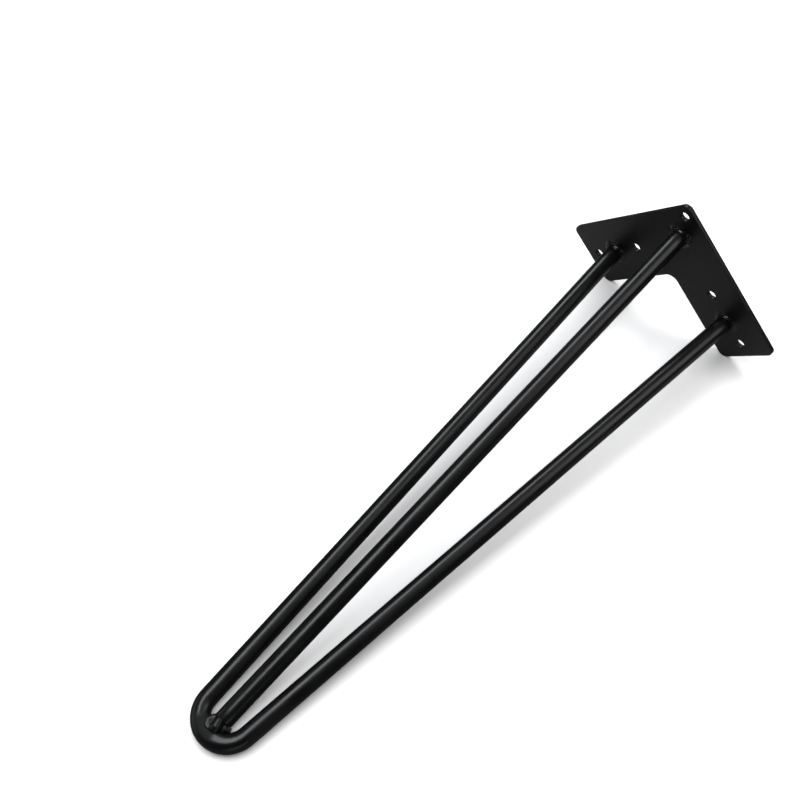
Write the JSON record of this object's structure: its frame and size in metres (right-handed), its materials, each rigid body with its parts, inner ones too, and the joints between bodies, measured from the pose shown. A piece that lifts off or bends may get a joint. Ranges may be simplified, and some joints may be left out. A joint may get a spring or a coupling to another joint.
{
  "type": "hairpin table leg",
  "caption": "Black welded steel hairpin leg with a bent round rod, a straight brace rod and an L-shaped mounting plate, for screwing under a table top.",
  "frame": {"origin": "on the upper face of the plate, where the centre lines of its two arms cross", "axes": "+Z is the normal of the mounting face, towards the table top, so the leg hangs down to -Z; the plate's arms point to +X+Y and -X+Y, its outer corner to -Y, and X = 0 is the plane of symmetry"},
  "size_m": [0.1558, 0.1082, 0.406],
  "materials": {
    "powder_coat": "satin black powder coat with a fine texture"
  },
  "bodies": {
    "root": {"mounting_plate": "powder_coat", "hairpin_rod": "powder_coat", "brace_rod": "powder_coat", "plate_weld_left": "powder_coat", "plate_weld_right": "powder_coat", "plate_weld_brace": "powder_coat", "foot_weld": "powder_coat", "foot_tack": "powder_coat"}
  },
  "joints": []
}
